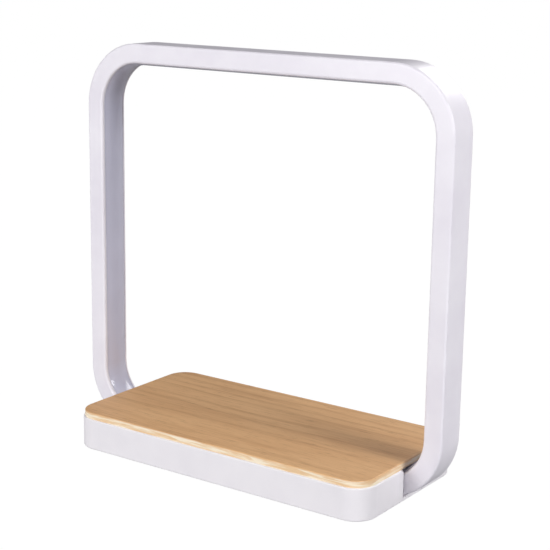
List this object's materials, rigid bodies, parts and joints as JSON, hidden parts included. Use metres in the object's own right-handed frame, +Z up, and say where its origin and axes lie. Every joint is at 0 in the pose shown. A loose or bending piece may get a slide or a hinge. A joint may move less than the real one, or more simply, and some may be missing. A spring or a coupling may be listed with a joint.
{
  "type": "bedside lamp with wireless charging base",
  "caption": "Low white base with a wooden wireless charging plate, and a rounded square light loop that stands in slots at its two ends and carries a milky inner diffuser.",
  "frame": {"origin": "on the table plane, below the middle of the base (centre of the bounding box's bottom)", "axes": "+X along the base to the viewer's right, +Y from the front to the rear where the power inlet is, +Z up"},
  "size_m": [0.23, 0.095, 0.2211],
  "materials": {
    "loop_paint": "satin",
    "base_plastic": "satin",
    "cover_plastic": "fine texture",
    "milky_diffuser": "gloss",
    "oiled_wood": "satin",
    "foot_rubber": "matte",
    "adhesive_tape": "matte",
    "screw_steel": "satin",
    "plated_steel": "satin",
    "socket_steel": "satin",
    "copper": "satin",
    "ferrite": "matte",
    "carrier_plastic": "matte",
    "end_cap_plastic": "matte",
    "circuit_board": "satin",
    "chip_plastic": "matte",
    "capacitor_ceramic": "satin",
    "capacitor_can": "satin",
    "strip_film": "satin",
    "led_package": "gloss",
    "lead_sheath": "satin"
  },
  "bodies": {
    "root": {"ballast_plate_front": "plated_steel", "ballast_plate_rear_left": "plated_steel", "ballast_plate_rear_right": "plated_steel", "base_shell": "base_plastic", "board_screws": "screw_steel", "bottom_cover": "cover_plastic", "bulk_capacitor": "capacitor_can", "carrier_screws": "screw_steel", "channel_end_cap_left": "end_cap_plastic", "channel_end_cap_right": "end_cap_plastic", "charger_chip": "chip_plastic", "charging_coil": "copper", "coil_carrier": "carrier_plastic", "coil_leads": "lead_sheath", "cover_screws": "screw_steel", "ferrite_sheet": "ferrite", "foot_ring": "foot_rubber", "led_chips": "led_package", "led_strip": "strip_film", "light_driver_chip": "chip_plastic", "loop_diffuser": "milky_diffuser", "loop_frame": "loop_paint", "loop_screws": "screw_steel", "main_board": "circuit_board", "power_inductors": "ferrite", "resonant_capacitors": "capacitor_ceramic", "socket_shell": "socket_steel", "socket_tongue": "chip_plastic", "strip_leads": "lead_sheath", "top_adhesive": "adhesive_tape", "touch_electrode": "copper", "touch_lead": "lead_sheath", "wood_top_plate": "oiled_wood"}
  },
  "joints": []
}
